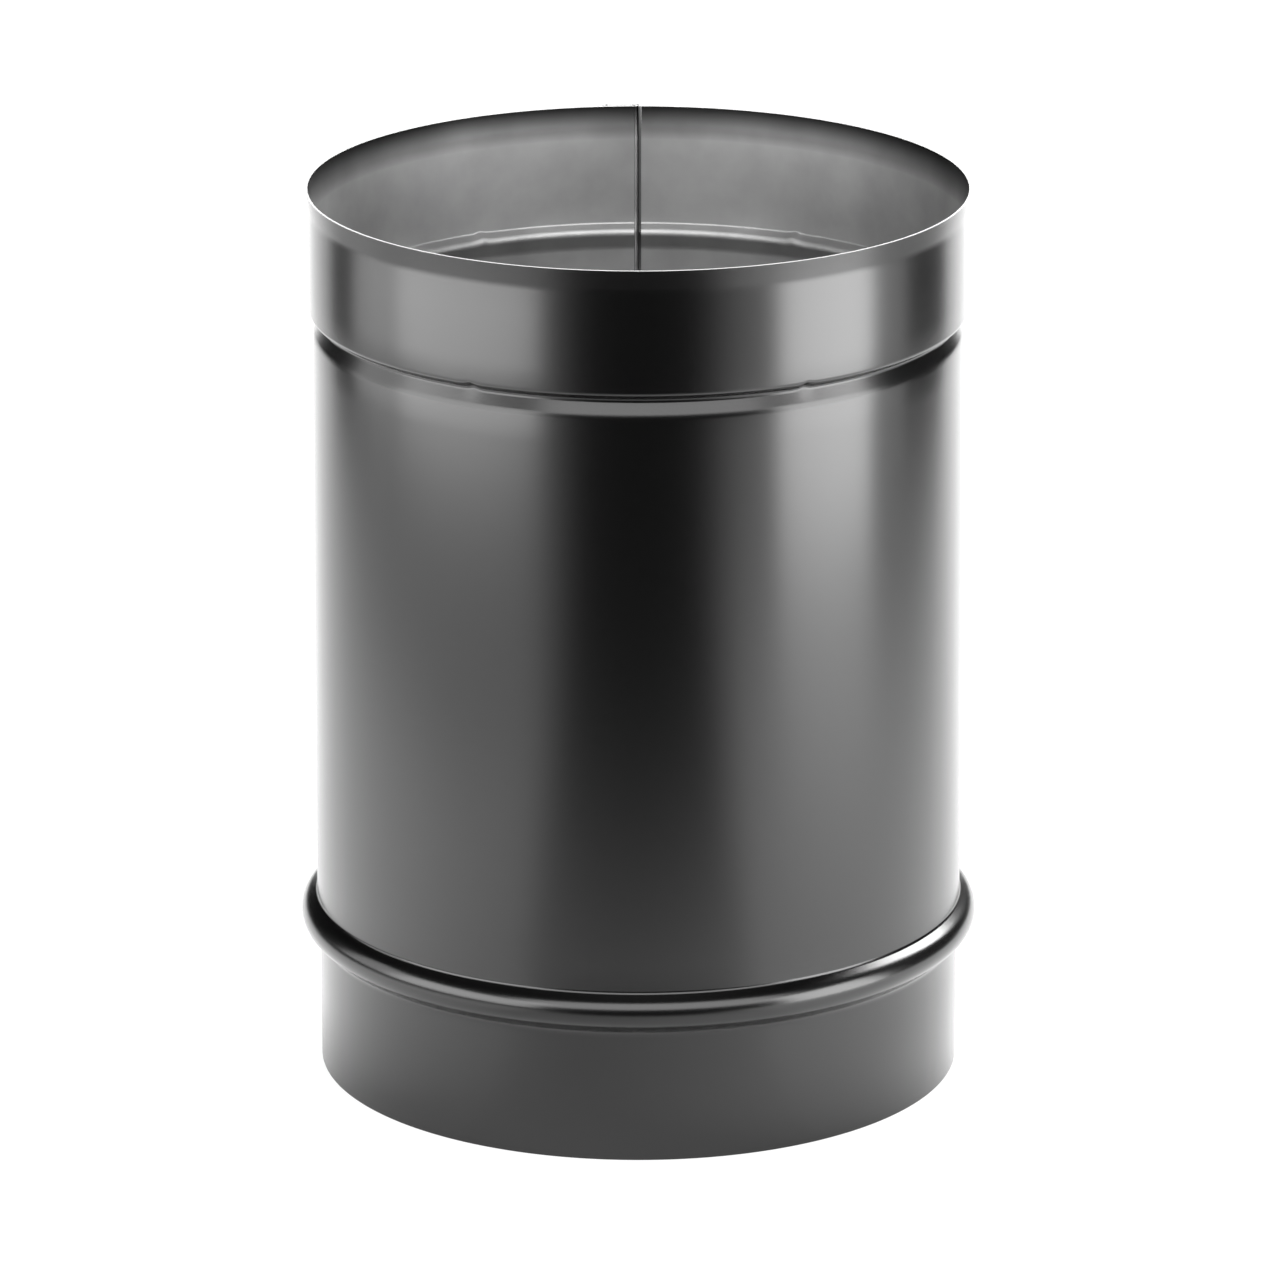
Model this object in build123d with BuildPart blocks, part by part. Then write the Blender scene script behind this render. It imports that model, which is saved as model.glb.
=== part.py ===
from build123d import *
import os
from math import cos, degrees, radians, sin, tan

# A short length of single-wall stove pipe, rolled from one sheet of steel and locked to itself along one
# outside seam. The origin is the centre of the bottom edge, Z is up, the front is at -Y and the seam near +Y.

# Driving dimensions in millimetres: the sheet and the whole pipe
sheet_thickness = 0.6
overall_height = 214.0

# The male collar at the bottom, which slides into the socket of the next pipe down
spigot_diameter = 152.4
spigot_length = 31.5

# The stop bead above the collar, rolled outwards: one rounded ridge, steeper above than below
bead_rise = 3.7
bead_crest_radius = 4.2
bead_upper_angle = 60.0
bead_lower_angle = 55.0
bead_foot_radius = 2.5
bead_shoulder_radius = 1.0

# The plain body, which widens a little downwards: how far its two ends stand out past the collar
body_top_rise = 0.1
body_foot_rise = 0.7

# The stop groove under the socket: a long flank that looks up and a short one that looks down
groove_depth = 1.9
groove_flank_height = 3.9
groove_lip_height = 1.4
groove_root_radius = 1.0
groove_lip_radius = 1.2
groove_shoulder_radius = 4.0

# The female socket at the top, which takes a spigot of the same size with some play
socket_play = 0.3
socket_depth = 29.4
mouth_flare = 0.7
mouth_flare_height = 5.0
mouth_flare_radius = 12.0

# The grooved lock seam, four layers thick, which stops short of the bead
seam_azimuth = 90.75
seam_width = 6.6
seam_play = 0.1
seam_tip_play = 0.3
seam_step_radius = 6.0
seam_corner_radius = 0.9
seam_above_bead = 6.0
seam_relief = 0.2
butt_gap = 0.3

# Radii of the outer surface at each stage of the profile
spigot_radius = spigot_diameter / 2
body_foot_radius = spigot_radius + body_foot_rise
body_top_radius = spigot_radius + body_top_rise
groove_radius = body_top_radius - groove_depth
socket_radius = spigot_radius + socket_play + sheet_thickness

# The flanks of the bead, both measured from upright, would meet in a corner outside its rounded crest
bead_upper = radians(bead_upper_angle)
bead_lower = radians(bead_lower_angle)
bead_corner_reach = bead_crest_radius * (sin(bead_upper) + sin(bead_lower)) / sin(bead_upper + bead_lower)
bead_corner_radius = body_foot_radius + bead_rise - bead_crest_radius + bead_corner_reach

# Heights of the stages
bead_corner_height = spigot_length + (bead_corner_radius - spigot_radius) / tan(bead_lower)
bead_top_height = bead_corner_height + (bead_corner_radius - body_foot_radius) / tan(bead_upper)
groove_top_height = overall_height - socket_depth
groove_root_height = groove_top_height - groove_lip_height
groove_foot_height = groove_root_height - groove_flank_height
mouth_foot_height = overall_height - mouth_flare_height

# The flare is drawn a little past the mouth, and then cut off square to the axis
trim_allowance = 1.0
flare_slope = mouth_flare / mouth_flare_height
flare_end_radius = socket_radius + flare_slope * (mouth_flare_height + trim_allowance)
flare_end = (flare_end_radius, overall_height + trim_allowance)

# The outer line of the wall from the bottom edge to the mouth, and the radius of each corner between
wall_corners = [
    (spigot_radius, 0),
    (spigot_radius, spigot_length),
    (bead_corner_radius, bead_corner_height),
    (body_foot_radius, bead_top_height),
    (body_top_radius, groove_foot_height),
    (groove_radius, groove_root_height),
    (socket_radius, groove_top_height),
    (socket_radius, mouth_foot_height),
    flare_end,
]
wall_bends = [
    bead_foot_radius,
    bead_crest_radius,
    bead_shoulder_radius,
    groove_shoulder_radius,
    groove_root_radius,
    groove_lip_radius,
    mouth_flare_radius,
]

# The seam starts on the body above the bead
seam_foot_height = bead_top_height + seam_above_bead
seam_start_height = seam_foot_height + seam_relief
body_taper = (body_top_radius - body_foot_radius) / (groove_foot_height - bead_top_height)
seam_start_radius = body_foot_radius + body_taper * (seam_start_height - bead_top_height)
seam_start = (seam_start_radius, seam_start_height)

# The seam's own line steps straight over the groove, because four layers can't be pressed into it
seam_corners = [
    seam_start,
    (body_top_radius, groove_foot_height),
    (socket_radius, groove_top_height),
    (socket_radius, mouth_foot_height),
    flare_end,
]
seam_bends = [seam_step_radius, seam_step_radius, mouth_flare_radius]

# The wall's line beside the seam, groove and all
wall_corners_at_seam = [seam_start, *wall_corners[4:]]
wall_bends_at_seam = wall_bends[3:]

# The layers of the seam are counted outwards from the wall, which is layer 0
layer_pitch = sheet_thickness + seam_play
cover_layer = 3
seam_proud = cover_layer * layer_pitch
fold_inner_radius = sheet_thickness / 2 + seam_play
fold_outer_radius = fold_inner_radius + sheet_thickness


def arc_degrees(length):
    """The angle that a length along the wall takes up, measured at the socket."""
    return degrees(length / socket_radius)


# Where the folds and the step of the seam stand, going round from the crevice to the far fold
crevice_azimuth = seam_azimuth
far_fold_azimuth = crevice_azimuth + arc_degrees(seam_width)
step_inside_azimuth = crevice_azimuth - arc_degrees(fold_outer_radius + seam_play)
step_outside_azimuth = step_inside_azimuth - arc_degrees(sheet_thickness)
butt_azimuth = (crevice_azimuth + step_outside_azimuth) / 2
tip_turn = arc_degrees(seam_tip_play)


def azimuth_plane(azimuth):
    """The upright plane through the axis whose X axis points along this azimuth, with Y up."""
    turn = radians(azimuth)
    return Plane(origin=(0, 0, 0), x_dir=(cos(turn), sin(turn), 0), z_dir=(sin(turn), -cos(turn), 0))


def seam_layer(number, start_azimuth, end_azimuth):
    """One layer of sheet over the wall, between two azimuths."""
    with BuildPart() as layer:
        with BuildSketch(azimuth_plane(start_azimuth)):
            with BuildLine():
                with BuildLine(mode=Mode.PRIVATE) as outer:
                    FilletPolyline(*seam_corners, radius=seam_bends)
                    offset(amount=number * layer_pitch, side=Side.RIGHT, closed=False, mode=Mode.REPLACE)
                add(outer.line)
                offset(amount=sheet_thickness, side=Side.LEFT)
            make_face()
        revolve(axis=Axis.Z, revolution_arc=end_azimuth - start_azimuth)
    return layer.part


def seam_fold(lower_layer, azimuth, away):
    """The half-round fold that joins a layer to the next but one, away from the half that is cut off."""
    plane = azimuth_plane(azimuth)
    centre = (lower_layer + 1) * layer_pitch - sheet_thickness / 2
    with BuildPart() as fold:
        with BuildLine(plane) as route:
            FilletPolyline(*seam_corners, radius=seam_bends)
        way_up = route.line % 0
        with BuildSketch(Plane(origin=route.line @ 0, x_dir=way_up.cross(plane.z_dir), z_dir=way_up)):
            with Locations((centre, 0)):
                Circle(fold_outer_radius)
                Circle(fold_inner_radius, mode=Mode.SUBTRACT)
                Rectangle(2 * fold_outer_radius, fold_outer_radius, align=(Align.CENTER, away), mode=Mode.SUBTRACT)
        sweep(path=route.line)
    return fold.part


def seam_step():
    """The step of the far edge, from the wall's inner face out to the cover's outer face."""
    with BuildPart() as step:
        with BuildSketch(azimuth_plane(step_outside_azimuth)):
            with BuildLine():
                with BuildLine(mode=Mode.PRIVATE) as inner:
                    FilletPolyline(*wall_corners_at_seam, radius=wall_bends_at_seam)
                    offset(amount=sheet_thickness, side=Side.LEFT, closed=False, mode=Mode.REPLACE)
                with BuildLine(mode=Mode.PRIVATE) as outer:
                    FilletPolyline(*seam_corners, radius=seam_bends)
                    offset(amount=seam_proud, side=Side.RIGHT, closed=False, mode=Mode.REPLACE)
                add(inner.line)
                add(outer.line)
                for end in (0, -1):
                    Line(*[face.line.vertices().sort_by(Axis.Y)[end] for face in (inner, outer)])
            make_face()
        revolve(axis=Axis.Z, revolution_arc=step_inside_azimuth - step_outside_azimuth)
    return step.part


def upright_edges_on(part, azimuth, least_radius):
    """The edges that run up a part in the plane of an azimuth, further out than a radius."""
    plane = azimuth_plane(azimuth)
    flat = 0.001
    edges = part.edges().filter_by(lambda edge: abs(plane.to_local_coords(edge.center()).Z) < flat)
    edges = edges.filter_by(lambda edge: plane.to_local_coords(edge.center()).X > least_radius)
    return edges.filter_by(lambda edge: abs((edge % 0.5).Z) > 0.5)


# The far edge of the sheet steps out over the near one, covers the seam and turns back under itself
with BuildPart() as far_edge:
    add(seam_step())
    add(seam_layer(cover_layer, step_inside_azimuth, far_fold_azimuth))
    fillet(upright_edges_on(far_edge, step_outside_azimuth, socket_radius + sheet_thickness), seam_corner_radius)
    add(seam_fold(1, far_fold_azimuth, Align.MAX))
    add(seam_layer(1, crevice_azimuth + tip_turn, far_fold_azimuth))

# The near edge turns back over itself and hooks into the far one
with BuildPart() as near_edge:
    add(seam_fold(0, crevice_azimuth, Align.MIN))
    add(seam_layer(2, crevice_azimuth, far_fold_azimuth - tip_turn))

# The wall is turned as one ring, and the two edges of the sheet are opened out of it into the seam
with BuildPart() as stove_pipe:
    with BuildSketch(Plane.XZ):
        with BuildLine():
            FilletPolyline(*wall_corners, radius=wall_bends)
            offset(amount=sheet_thickness, side=Side.LEFT)
        make_face()
    revolve(axis=Axis.Z)
    with BuildSketch(azimuth_plane(step_outside_azimuth)):
        with Locations((0, seam_foot_height)):
            Rectangle(bead_corner_radius, overall_height, align=Align.MIN)
    revolve(axis=Axis.Z, revolution_arc=crevice_azimuth - step_outside_azimuth, mode=Mode.SUBTRACT)

    # Below the seam the edges only meet, so that the bead and the collar stay one sheet thick
    with BuildSketch(azimuth_plane(butt_azimuth)):
        Rectangle(bead_corner_radius, 2 * seam_start_height, align=(Align.MIN, Align.CENTER))
    extrude(amount=butt_gap / 2, both=True, mode=Mode.SUBTRACT)
    add(far_edge.part)
    add(near_edge.part)

    # The mouth is cut off square
    split(bisect_by=Plane.XY.offset(overall_height), keep=Keep.BOTTOM)

stove_pipe.part.label = "stove_pipe"
os.makedirs("parts", exist_ok=True)
export_step(stove_pipe.part, "parts/stove_pipe.step")
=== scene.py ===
from math import acos, ceil, cos, degrees, pi, radians, sin, tan

import bpy
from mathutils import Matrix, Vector


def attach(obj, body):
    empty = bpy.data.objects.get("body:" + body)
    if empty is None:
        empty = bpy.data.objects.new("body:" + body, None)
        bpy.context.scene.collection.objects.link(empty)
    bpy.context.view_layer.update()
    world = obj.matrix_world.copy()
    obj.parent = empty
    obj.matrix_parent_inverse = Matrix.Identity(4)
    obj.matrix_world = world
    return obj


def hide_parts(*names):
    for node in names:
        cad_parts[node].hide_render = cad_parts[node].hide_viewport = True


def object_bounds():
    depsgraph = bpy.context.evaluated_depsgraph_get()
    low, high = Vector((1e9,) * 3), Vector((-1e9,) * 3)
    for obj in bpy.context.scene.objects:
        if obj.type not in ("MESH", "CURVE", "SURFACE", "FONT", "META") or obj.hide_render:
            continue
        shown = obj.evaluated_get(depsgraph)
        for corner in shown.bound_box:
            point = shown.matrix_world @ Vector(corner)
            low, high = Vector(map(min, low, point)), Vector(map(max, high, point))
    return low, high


# Looks of a short length of black stove pipe with a bare steel inside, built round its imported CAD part.
# Lengths are in millimetres up to the moment they are handed to Blender, which works in metres.
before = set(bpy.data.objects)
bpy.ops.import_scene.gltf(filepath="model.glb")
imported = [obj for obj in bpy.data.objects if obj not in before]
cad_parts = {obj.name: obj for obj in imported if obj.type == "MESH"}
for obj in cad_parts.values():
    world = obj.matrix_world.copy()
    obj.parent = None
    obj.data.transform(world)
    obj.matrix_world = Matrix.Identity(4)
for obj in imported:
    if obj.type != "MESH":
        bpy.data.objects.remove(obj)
cad_low, cad_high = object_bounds()
MM = 0.001

# The sheet and the heights and radii of its outer side, as the CAD part has them
SHEET = 0.6
HEIGHT = round(cad_high.z / MM, 1)
SPIGOT_RADIUS = 76.2
SPIGOT_LENGTH = 31.5
BEAD_RISE = 3.7
BEAD_CREST_BEND = 4.2
BEAD_UPPER = radians(60)
BEAD_LOWER = radians(55)
BEAD_FOOT_BEND = 2.5
BEAD_SHOULDER_BEND = 1.0
BODY_FOOT_RADIUS = SPIGOT_RADIUS + 0.7
BODY_TOP_RADIUS = SPIGOT_RADIUS + 0.1
GROOVE_DEPTH = 1.9
GROOVE_FLANK_HEIGHT = 3.9
GROOVE_LIP_HEIGHT = 1.4
GROOVE_SHOULDER_BEND = 4.0
GROOVE_ROOT_BEND = 1.0
GROOVE_LIP_BEND = 1.2
SOCKET_RADIUS = 77.1
SOCKET_DEPTH = 29.4
MOUTH_FLARE = 0.7
MOUTH_FLARE_HEIGHT = 5.0
MOUTH_FLARE_BEND = 12.0

# The lock seam at the back, counted in layers outwards from the wall
SEAM_AZIMUTH = 90.75
SEAM_WIDTH = 6.6
SEAM_PLAY = 0.1
SEAM_TIP_PLAY = 0.3
SEAM_STEP_BEND = 6.0
SEAM_CORNER_BEND = 0.9
SEAM_ABOVE_BEAD = 6.0
BUTT_GAP = 0.3
LAYER_PITCH = SHEET + SEAM_PLAY
FOLD_BEND = SHEET / 2 + SEAM_PLAY

# Six marks of the rolling jaws along the lip of the groove, as azimuths, and their size
JAW_MARKS = [60 * count for count in range(6)]
JAW_MARK_REACH = 1.3
JAW_MARK_RISE = 0.5
JAW_MARK_FADE = 2.2

# How far the painted shade reaches down inside the mouth
PAINTED_SHADE_DEPTH = 8.0

# How finely the sheet is drawn
TURN_STEPS = 287
ROW_HEIGHT = 6.0
BEND_STEP = radians(9)

BEAD_CORNER_REACH = BEAD_CREST_BEND * (sin(BEAD_UPPER) + sin(BEAD_LOWER)) / sin(BEAD_UPPER + BEAD_LOWER)
BEAD_CORNER_RADIUS = BODY_FOOT_RADIUS + BEAD_RISE - BEAD_CREST_BEND + BEAD_CORNER_REACH
BEAD_CORNER_HEIGHT = SPIGOT_LENGTH + (BEAD_CORNER_RADIUS - SPIGOT_RADIUS) / tan(BEAD_LOWER)
BEAD_TOP = BEAD_CORNER_HEIGHT + (BEAD_CORNER_RADIUS - BODY_FOOT_RADIUS) / tan(BEAD_UPPER)
GROOVE_TOP = HEIGHT - SOCKET_DEPTH
GROOVE_ROOT = GROOVE_TOP - GROOVE_LIP_HEIGHT
GROOVE_FOOT = GROOVE_ROOT - GROOVE_FLANK_HEIGHT
SEAM_FOOT = BEAD_TOP + SEAM_ABOVE_BEAD


def leave_edit_mode():
    if bpy.context.object and bpy.context.object.mode != "OBJECT":
        bpy.ops.object.mode_set(mode="OBJECT")


def start_point(name, place):
    """A new mesh of one selected vertex, left in edit mode."""
    leave_edit_mode()
    bpy.ops.object.select_all(action="DESELECT")
    bpy.ops.mesh.primitive_plane_add(size=MM, location=Vector(place) * MM)
    piece = bpy.context.object
    piece.name = name
    bpy.ops.object.transform_apply(location=True, rotation=True, scale=True)
    bpy.ops.object.mode_set(mode="EDIT")
    bpy.ops.mesh.select_mode(type="VERT")
    bpy.ops.mesh.select_all(action="SELECT")
    bpy.ops.mesh.merge(type="CENTER")
    return piece


def pull(step):
    """Extrudes what is selected by a vector in millimetres."""
    bpy.ops.mesh.extrude_region_move(TRANSFORM_OT_translate={"value": Vector(step) * MM})


def pull_straight(start, end, longest):
    """Extrudes from one point to another in equal rows no longer than a limit."""
    rows = max(1, ceil((end - start).length / longest - 0.01))
    for _ in range(rows):
        pull((end - start) / rows)


def swing(centre, axis, angle, steps):
    """Spins what is selected round an axis, anticlockwise seen from its tip, and leaves a trail of edges or faces.

    Blender's own spin turns clockwise.
    """
    bpy.ops.mesh.spin(steps=steps, angle=-angle, center=Vector(centre) * MM, axis=axis)


def draw_bent_line(name, corners, bends, longest):
    """A line of edges in the XZ plane from the first corner to the last, with a round bend at each between."""
    points = [Vector((radius, 0, height)) for radius, height in corners]
    piece = start_point(name, points[0])
    here = points[0]
    for before, corner, after, bend in zip(points, points[1:], points[2:], bends):
        way_in = (corner - before).normalized()
        way_out = (after - corner).normalized()
        turn = acos(max(-1.0, min(1.0, way_in.dot(way_out))))
        side = way_in.cross(way_out).normalized()
        reach = bend * tan(turn / 2)
        pull_straight(here, corner - way_in * reach, longest)
        centre = corner - way_in * reach + side.cross(way_in) * bend
        swing(centre, side, turn, max(2, ceil(turn / BEND_STEP)))
        here = corner + way_out * reach
    pull_straight(here, points[-1], longest)
    return piece


def column(azimuth, radius, height):
    """The point at an azimuth in degrees, a radius and a height."""
    turn = radians(azimuth)
    return Vector((radius * cos(turn), radius * sin(turn), height))


def thicken(piece, near, facing):
    """Merges doubles, turns the painted side the right way and gives the sheet its thickness on the other side.

    The face nearest to one point is painted on the side that looks along the given direction.
    """
    bpy.ops.mesh.select_all(action="SELECT")
    bpy.ops.mesh.remove_doubles(threshold=0.01 * MM)
    bpy.ops.mesh.normals_make_consistent(inside=False)
    leave_edit_mode()
    probe = min(piece.data.polygons, key=lambda face: (face.center - near * MM).length)
    if probe.normal.dot(facing) < 0:
        bpy.ops.object.mode_set(mode="EDIT")
        bpy.ops.mesh.flip_normals()
        leave_edit_mode()
    for material in sheet_materials:
        piece.data.materials.append(material)
    solid = piece.modifiers.new("sheet", "SOLIDIFY")
    solid.thickness = SHEET * MM
    solid.offset = -1
    solid.use_even_offset = True
    solid.material_offset = 1
    solid.material_offset_rim = 2
    bpy.ops.object.modifier_apply(modifier=solid.name)


def select_vertices(piece, wanted):
    """Selects the vertices whose place in millimetres passes a test, and ends in edit mode."""
    leave_edit_mode()
    bpy.ops.object.mode_set(mode="EDIT")
    bpy.ops.mesh.select_mode(type="VERT")
    bpy.ops.mesh.select_all(action="DESELECT")
    leave_edit_mode()
    for vertex in piece.data.vertices:
        vertex.select = wanted(vertex.co / MM)
    bpy.ops.object.mode_set(mode="EDIT")


def azimuth_of(place):
    """How far round a point stands from the crevice, in degrees up to half a turn either way."""
    return degrees(Vector((1, 0)).angle_signed(Vector((place.x, place.y)), 0)) * -1


WALL_CORNERS = [
    (SPIGOT_RADIUS, 0),
    (SPIGOT_RADIUS, SPIGOT_LENGTH),
    (BEAD_CORNER_RADIUS, BEAD_CORNER_HEIGHT),
    (BODY_FOOT_RADIUS, BEAD_TOP),
    (BODY_TOP_RADIUS, GROOVE_FOOT),
    (BODY_TOP_RADIUS - GROOVE_DEPTH, GROOVE_ROOT),
    (SOCKET_RADIUS, GROOVE_TOP),
    (SOCKET_RADIUS, HEIGHT - MOUTH_FLARE_HEIGHT),
    (SOCKET_RADIUS + MOUTH_FLARE, HEIGHT),
]
WALL_BENDS = [
    BEAD_FOOT_BEND,
    BEAD_CREST_BEND,
    BEAD_SHOULDER_BEND,
    GROOVE_SHOULDER_BEND,
    GROOVE_ROOT_BEND,
    GROOVE_LIP_BEND,
    MOUTH_FLARE_BEND,
]


def along_wall(length):
    """The angle in degrees that a length along the socket's wall takes up."""
    return degrees(length / SOCKET_RADIUS)


# The sector between the crevice and the step, in which the wall gives way to the seam
STEP_INSIDE = -along_wall(FOLD_BEND + SHEET + SEAM_PLAY)
STEP_OUTSIDE = STEP_INSIDE - along_wall(SHEET)
FAR_FOLD = along_wall(SEAM_WIDTH)
STRIP_STEPS = 12
STRIP_END = along_wall(1.5 * SEAM_WIDTH)


def make_wall():
    """The rolled sheet as one ring, opened at the seam and slit below it."""
    wall = draw_bent_line("wall", WALL_CORNERS, WALL_BENDS, ROW_HEIGHT)
    bpy.ops.mesh.select_all(action="SELECT")
    butt = STEP_OUTSIDE / 2
    gap = along_wall(BUTT_GAP) / 2
    stops = [0, STRIP_END, 360 + STEP_OUTSIDE, 360 + butt - gap, 360 + butt + gap, 360]
    steps = [STRIP_STEPS, TURN_STEPS, 1, 1, 1]
    for here, there, count in zip(stops, stops[1:], steps):
        swing((0, 0, 0), (0, 0, 1), radians(there - here), count)
    bpy.ops.mesh.select_all(action="SELECT")
    bpy.ops.mesh.remove_doubles(threshold=0.01 * MM)

    bpy.ops.mesh.select_mode(type="FACE")
    bpy.ops.mesh.select_all(action="DESELECT")
    leave_edit_mode()
    for face in wall.data.polygons:
        centre = face.center / MM
        turn = azimuth_of(centre)
        in_sector = STEP_OUTSIDE < turn < 0
        face.select = in_sector and (centre.z > SEAM_FOOT or abs(turn - butt) < gap)
    bpy.ops.object.mode_set(mode="EDIT")
    bpy.ops.mesh.delete(type="FACE")
    return wall


def seam_rows():
    """The seam's own line from its foot to the mouth, which steps straight over the groove."""
    taper = (BODY_TOP_RADIUS - BODY_FOOT_RADIUS) / (GROOVE_FOOT - BEAD_TOP)
    foot_radius = BODY_FOOT_RADIUS + taper * (SEAM_FOOT - BEAD_TOP)
    return [
        (foot_radius, SEAM_FOOT),
        (BODY_TOP_RADIUS, GROOVE_FOOT),
        (BODY_TOP_RADIUS + 0.3 * (SOCKET_RADIUS - BODY_TOP_RADIUS), GROOVE_ROOT),
        (SOCKET_RADIUS, GROOVE_TOP),
        (SOCKET_RADIUS, HEIGHT - MOUTH_FLARE_HEIGHT),
        (SOCKET_RADIUS + MOUTH_FLARE, HEIGHT),
    ]


def draw_up_the_seam(piece):
    """Extrudes a seam's plan, drawn at its foot, up its line to the mouth."""
    bpy.ops.mesh.select_all(action="SELECT")
    middle = radians(FAR_FOLD / 2)
    rows = seam_rows()
    for (radius, height), (next_radius, next_height) in zip(rows, rows[1:]):
        out = next_radius - radius
        rise = Vector((out * cos(middle), out * sin(middle), next_height - height))
        count = max(1, ceil(rise.length / ROW_HEIGHT))
        for _ in range(count):
            pull(rise / count)


def make_far_edge():
    """The far edge of the sheet: a step outwards, the cover, and the fold back under itself."""
    radius, height = seam_rows()[0]
    cover = radius + 3 * LAYER_PITCH
    fold = FOLD_BEND + SHEET
    start = column(STEP_OUTSIDE, radius - SHEET, height)
    corner = column(STEP_OUTSIDE, cover - SEAM_CORNER_BEND, height)
    piece = start_point("far_edge", start)
    pull_straight(start, corner, ROW_HEIGHT)
    turn_in = degrees(SEAM_CORNER_BEND / cover)
    swing(column(STEP_OUTSIDE + turn_in, cover - SEAM_CORNER_BEND, height), (0, 0, 1), radians(90), 6)
    swing((0, 0, 0), (0, 0, 1), radians(FAR_FOLD - STEP_OUTSIDE - turn_in), 8)
    swing(column(FAR_FOLD, cover - fold, height), (0, 0, 1), radians(180), 12)
    swing((0, 0, 0), (0, 0, 1), -radians(FAR_FOLD - along_wall(SEAM_TIP_PLAY)), 6)
    draw_up_the_seam(piece)

    # The step's inner end follows the wall into the groove
    at_root = column(STEP_OUTSIDE, seam_rows()[2][0] - SHEET, GROOVE_ROOT)
    select_vertices(piece, lambda place: (place - at_root).length < SHEET / 2)
    bpy.ops.transform.translate(value=column(STEP_OUTSIDE, BODY_TOP_RADIUS - GROOVE_DEPTH - at_root.xy.length, 0) * MM)
    return piece


def make_near_edge():
    """The near edge of the sheet: the fold back over itself that hooks into the far edge."""
    radius, height = seam_rows()[0]
    start = column(0, radius, height)
    piece = start_point("near_edge", start)
    swing(column(0, radius + FOLD_BEND, height), (0, 0, 1), radians(180), 10)
    swing((0, 0, 0), (0, 0, 1), radians(FAR_FOLD - along_wall(SEAM_TIP_PLAY)), 6)
    draw_up_the_seam(piece)
    return piece


def finish_mouth(piece):
    """Cuts the mouth square to the axis."""
    select_vertices(piece, lambda place: place.z > HEIGHT - SHEET / 2)
    bpy.ops.transform.resize(value=(1, 1, 0), center_override=(0, 0, HEIGHT * MM))


def mark_groove(piece):
    """The marks of the rolling jaws, where the lip of the stop groove is pushed up a little."""
    for turn in JAW_MARKS:
        mark = column(turn, (BODY_TOP_RADIUS - GROOVE_DEPTH + SOCKET_RADIUS) / 2, (GROOVE_ROOT + GROOVE_TOP) / 2)
        select_vertices(piece, lambda place: (place - mark).length < JAW_MARK_REACH)
        bpy.ops.transform.translate(
            value=(0, 0, JAW_MARK_RISE * MM),
            use_proportional_edit=True,
            proportional_edit_falloff="SMOOTH",
            proportional_size=JAW_MARK_FADE * MM,
        )


def node(tree, kind, place, **settings):
    """A shader node at a place in the tree, with its properties set."""
    made = tree.nodes.new(kind)
    made.location = place
    for name, value in settings.items():
        setattr(made, name, value)
    return made


def new_material(name):
    """An empty node material and its tree, output and main shader."""
    material = bpy.data.materials.new(name)
    material.use_nodes = True
    tree = material.node_tree
    shader = tree.nodes["Principled BSDF"]
    return material, tree, shader


def grain(tree, scale, detail, place):
    """A noise pattern that is fixed to the piece, as a node."""
    places = node(tree, "ShaderNodeTexCoord", (place[0] - 220, place[1]))
    noise = node(tree, "ShaderNodeTexNoise", place)
    noise.inputs["Scale"].default_value = scale
    noise.inputs["Detail"].default_value = detail
    tree.links.new(places.outputs["Object"], noise.inputs["Vector"])
    return noise


def make_paint():
    """Satin black stove paint with a faint orange peel."""
    material, tree, shader = new_material("black_paint")
    shader.inputs["Base Color"].default_value = (0.0008, 0.0008, 0.0008, 1)
    shader.inputs["Roughness"].default_value = 0.24
    shader.inputs["IOR"].default_value = 1.5
    peel = grain(tree, 900, 2, (-500, -200))
    bump = node(tree, "ShaderNodeBump", (-250, -200))
    bump.inputs["Strength"].default_value = 0.03
    bump.inputs["Distance"].default_value = 0.0002
    tree.links.new(peel.outputs["Fac"], bump.inputs["Height"])
    tree.links.new(bump.outputs["Normal"], shader.inputs["Normal"])
    return material


def make_bare_steel():
    """Coated sheet steel with a soft mottled spangle, and painted shade that darkens it just inside the mouth."""
    material, tree, shader = new_material("bare_steel")
    shader.inputs["Metallic"].default_value = 1.0
    shader.inputs["Roughness"].default_value = 0.55
    spangle = grain(tree, 55, 4, (-900, 200))
    shade = node(tree, "ShaderNodeMapRange", (-650, 200))
    shade.inputs["From Min"].default_value = 0.3
    shade.inputs["From Max"].default_value = 0.7
    shade.inputs["To Min"].default_value = 0.33
    shade.inputs["To Max"].default_value = 0.43
    # Painted shade: the steel's colour goes to black at the mouth and fades out over the top few millimetres inside
    place = node(tree, "ShaderNodeTexCoord", (-1100, -200))
    split = node(tree, "ShaderNodeSeparateXYZ", (-900, -200))
    painted_shade_ramp = node(tree, "ShaderNodeMapRange", (-700, -200))
    painted_shade_ramp.inputs["From Min"].default_value = (HEIGHT + 1) * MM
    painted_shade_ramp.inputs["From Max"].default_value = (HEIGHT - PAINTED_SHADE_DEPTH) * MM
    painted_shade_curve = node(tree, "ShaderNodeMath", (-500, -200), operation="POWER")
    painted_shade_curve.inputs[1].default_value = 1.7
    mix = node(tree, "ShaderNodeMath", (-300, 0), operation="MULTIPLY")
    tree.links.new(spangle.outputs["Fac"], shade.inputs["Value"])
    tree.links.new(place.outputs["Object"], split.inputs["Vector"])
    tree.links.new(split.outputs["Z"], painted_shade_ramp.inputs["Value"])
    tree.links.new(painted_shade_ramp.outputs["Result"], painted_shade_curve.inputs[0])
    tree.links.new(shade.outputs["Result"], mix.inputs[0])
    tree.links.new(painted_shade_curve.outputs["Value"], mix.inputs[1])
    tree.links.new(mix.outputs["Value"], shader.inputs["Base Color"])
    return material


def make_cut_edge():
    """The sheared edge of the sheet, dull and a little rough."""
    material, tree, shader = new_material("cut_edge")
    shader.inputs["Metallic"].default_value = 1.0
    shader.inputs["Base Color"].default_value = (0.12, 0.12, 0.12, 1)
    shader.inputs["Roughness"].default_value = 0.5
    return material


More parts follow.
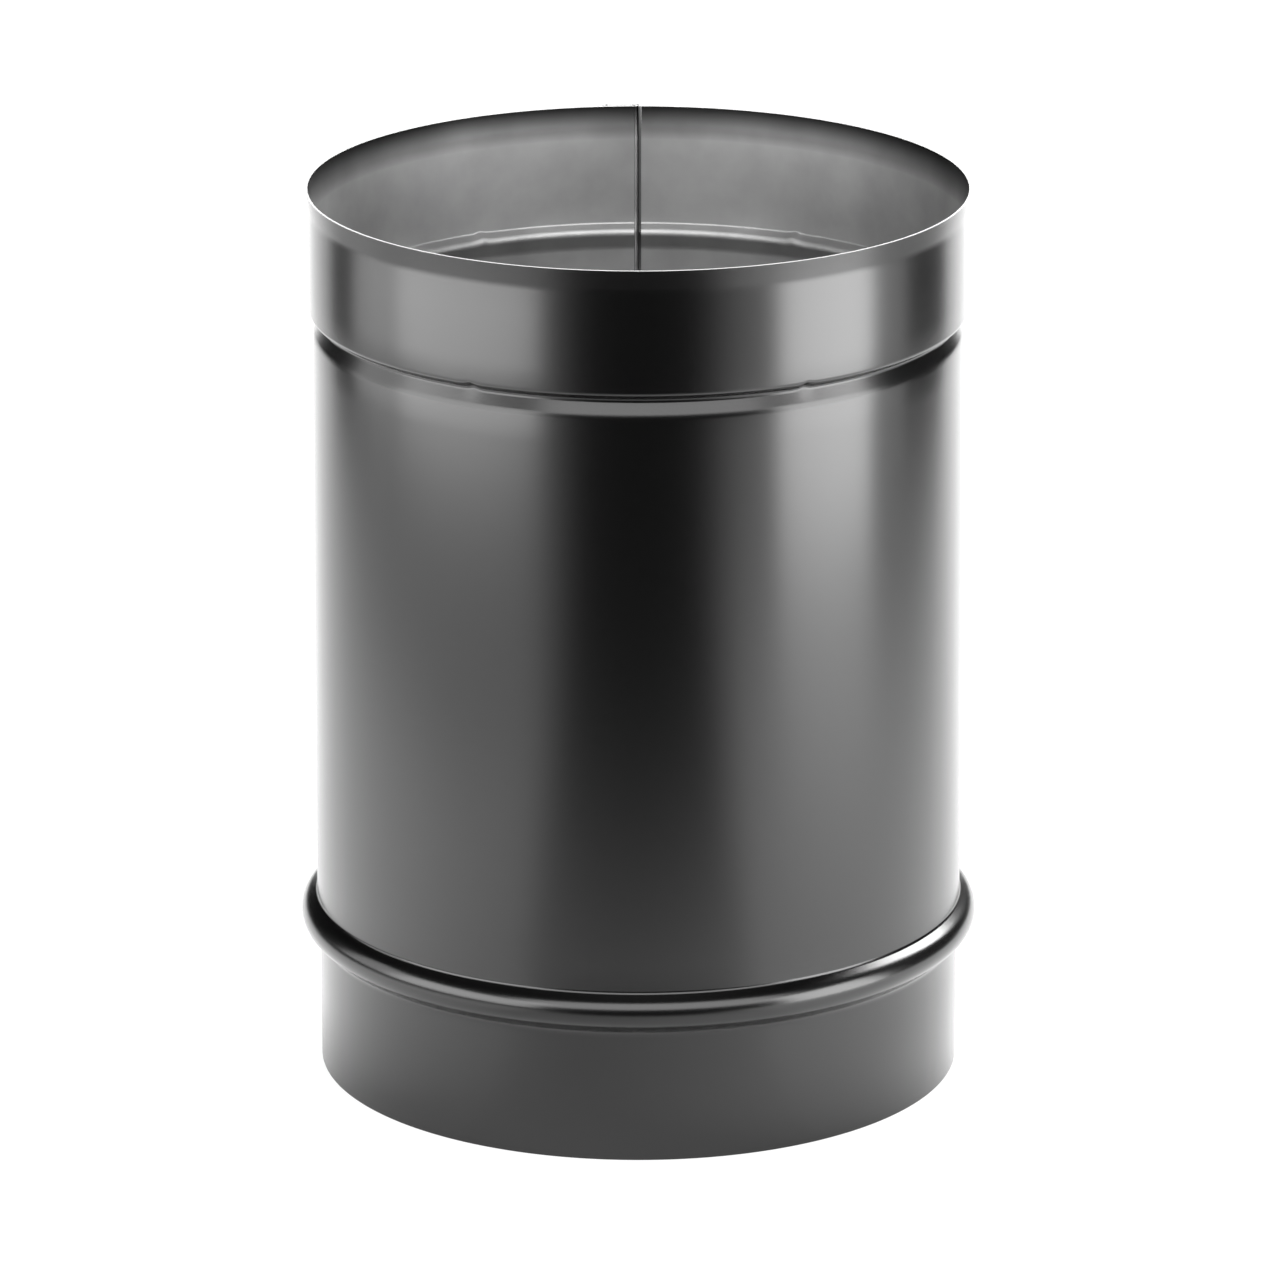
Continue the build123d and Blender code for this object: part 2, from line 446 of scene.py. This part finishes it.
# The camera stands in front and looks down on the pipe, a long lens far away
CAMERA_DISTANCE = 1945.0
CAMERA_PITCH = radians(17.52)
CAMERA_AIM_HEIGHT = 102.7
CAMERA_SIDE = 0.39
PHOTO_WIDTH = 1280
FOCAL_PIXELS = 8189


def make_camera():
    """The camera, level from side to side and aimed at the pipe's axis."""
    leave_edit_mode()
    back = Vector((0, -cos(CAMERA_PITCH), sin(CAMERA_PITCH)))
    aim = Vector((CAMERA_SIDE, 0, CAMERA_AIM_HEIGHT))
    bpy.ops.object.camera_add(location=(aim + back * CAMERA_DISTANCE) * MM)
    camera = bpy.context.object
    camera.rotation_euler = (pi / 2 - CAMERA_PITCH, 0, 0)
    camera.data.sensor_width = 36
    camera.data.lens = FOCAL_PIXELS / PHOTO_WIDTH * camera.data.sensor_width
    camera.data.clip_start = 0.1
    camera.data.clip_end = 100
    bpy.context.scene.camera = camera


def make_softbox(name, place, size, aim, radiance):
    """A rectangular softbox of even brightness that faces a point. The camera doesn't see it."""
    away = Vector(place) - Vector(aim)
    bpy.ops.object.light_add(type="AREA", location=Vector(place) * MM)
    lamp = bpy.context.object
    lamp.name = name
    lamp.rotation_euler = away.to_track_quat("Z", "Y").to_euler()
    lamp.data.shape = "RECTANGLE"
    lamp.data.size, lamp.data.size_y = size[0] * MM, size[1] * MM
    lamp.data.energy = radiance * pi * lamp.data.size * lamp.data.size_y
    lamp.visible_camera = False
    return lamp


make_camera()
sheet_materials = (make_paint(), make_bare_steel(), make_cut_edge())
wall = make_wall()
thicken(wall, column(180, SPIGOT_RADIUS, 5), Vector((-1, 0, 0)))
far_edge = make_far_edge()
thicken(far_edge, column(FAR_FOLD / 2, SPIGOT_RADIUS + 3 * LAYER_PITCH, 100), Vector((1, 0, 0)))
near_edge = make_near_edge()
thicken(near_edge, column(FAR_FOLD / 2, SPIGOT_RADIUS + 1 * LAYER_PITCH, 100), Vector((-1, 0, 0)))
for piece in (wall, far_edge, near_edge):
    print(piece.name, len(piece.data.vertices), len(piece.data.polygons))
bpy.ops.object.select_all(action="DESELECT")
for piece in (far_edge, near_edge, wall):
    piece.select_set(True)
bpy.context.view_layer.objects.active = wall
bpy.ops.object.join()
pipe = bpy.context.object
pipe.name = "black_stove_pipe"
pipe.rotation_euler.z = radians(SEAM_AZIMUTH)
bpy.ops.object.transform_apply(location=True, rotation=True, scale=True)
finish_mouth(pipe)
mark_groove(pipe)
leave_edit_mode()
bpy.ops.object.shade_smooth_by_angle(angle=radians(40))
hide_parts("stove_pipe")
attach(pipe, "root")

# The floor is a white table, with painted shade that darkens its colour in a wedge in front of the pipe, fading to
# black away from it. The camera sees it as white paper.
bpy.ops.mesh.primitive_plane_add(size=12, location=(0, 0, 0))
floor = bpy.context.object
floor.name = "floor"
material, tree, shader = new_material("white_floor")
floor.data.materials.append(material)
tree.nodes.remove(shader)
output = tree.nodes["Material Output"]
place = node(tree, "ShaderNodeTexCoord", (-1900, 0))
split = node(tree, "ShaderNodeSeparateXYZ", (-1700, 0))
sideways = node(tree, "ShaderNodeMath", (-1500, -100), operation="ABSOLUTE")
forwards = node(tree, "ShaderNodeMath", (-1500, -300), operation="MULTIPLY")
forwards.inputs[1].default_value = -1
in_front = node(tree, "ShaderNodeMath", (-1300, -300), operation="MAXIMUM")
in_front.inputs[1].default_value = 0.001
ratio = node(tree, "ShaderNodeMath", (-1100, -200), operation="DIVIDE")
aside = node(tree, "ShaderNodeMapRange", (-900, -200), interpolation_type="SMOOTHSTEP")
aside.inputs["From Min"].default_value = 0.3
aside.inputs["From Max"].default_value = 0.75
near = node(tree, "ShaderNodeMapRange", (-900, 100), interpolation_type="SMOOTHSTEP")
near.inputs["From Min"].default_value = -0.46
near.inputs["From Max"].default_value = -0.02
# Painted shade: outside both masks, in a wedge in front of the pipe, the floor's colour goes dark
unshaded_floor = node(tree, "ShaderNodeMath", (-700, 0), operation="MAXIMUM")
white = node(tree, "ShaderNodeMath", (-550, 0), operation="MULTIPLY")
white.inputs[1].default_value = 0.8
matt = node(tree, "ShaderNodeBsdfDiffuse", (-400, 0))
glow = node(tree, "ShaderNodeEmission", (-400, -200))
glow.inputs["Strength"].default_value = 1.0
rays = node(tree, "ShaderNodeLightPath", (-600, 300))
share = node(tree, "ShaderNodeMath", (-400, 200), operation="MULTIPLY")
share.inputs[1].default_value = 0.88
mix = node(tree, "ShaderNodeMixShader", (-150, 0))
tree.links.new(place.outputs["Object"], split.inputs["Vector"])
tree.links.new(split.outputs["X"], sideways.inputs[0])
tree.links.new(split.outputs["Y"], forwards.inputs[0])
tree.links.new(forwards.outputs["Value"], in_front.inputs[0])
tree.links.new(sideways.outputs["Value"], ratio.inputs[0])
tree.links.new(in_front.outputs["Value"], ratio.inputs[1])
tree.links.new(ratio.outputs["Value"], aside.inputs["Value"])
tree.links.new(split.outputs["Y"], near.inputs["Value"])
tree.links.new(near.outputs["Result"], unshaded_floor.inputs[0])
tree.links.new(aside.outputs["Result"], unshaded_floor.inputs[1])
tree.links.new(unshaded_floor.outputs["Value"], white.inputs[0])
tree.links.new(white.outputs["Value"], matt.inputs["Color"])
tree.links.new(rays.outputs["Is Camera Ray"], share.inputs[0])
tree.links.new(share.outputs["Value"], mix.inputs["Fac"])
tree.links.new(matt.outputs["BSDF"], mix.inputs[1])
tree.links.new(glow.outputs["Emission"], mix.inputs[2])
tree.links.new(mix.outputs["Shader"], output.inputs["Surface"])

# Softboxes to the left, to the right, high in front and high behind
make_softbox("left_softbox", (-328, -210, 208), (390, 260), (-40, -46, 208), 6.8)
make_softbox("left_back_softbox", (-410, 43, 208), (172, 260), (-60, -19, 208), 2.8)
make_softbox("right_softbox", (437, -208, 200), (322, 360), (0, -15, 200), 10.6)
make_softbox("front_softbox", (100, -1100, 1270), (2300, 1200), (0, -76, 180), 4.8)
make_softbox("back_softbox", (500, 1400, 1300), (2000, 900), (100, 0, 0), 19.0)

# Dark cards behind, to the left and to the right
for side in (-1, 1):
    turn = -side * radians(64)
    bpy.ops.mesh.primitive_plane_add(size=1, location=(side * 0.56, 0.26, 0.2), rotation=(pi / 2, 0, turn))
    card = bpy.context.object
    card.name = "left_card" if side < 0 else "right_card"
    card.scale = (0.3, 0.39, 1)
    bpy.ops.object.transform_apply(location=True, rotation=True, scale=True)
    card.data.materials.append(sheet_materials[0])
    card.visible_camera = False

world = bpy.context.scene.world or bpy.data.worlds.new("world")
bpy.context.scene.world = world
world.use_nodes = True
world.node_tree.nodes["Background"].inputs["Color"].default_value = (1, 1, 1, 1)
world.node_tree.nodes["Background"].inputs["Strength"].default_value = 0.01
bpy.context.scene.view_settings.view_transform = "Standard"
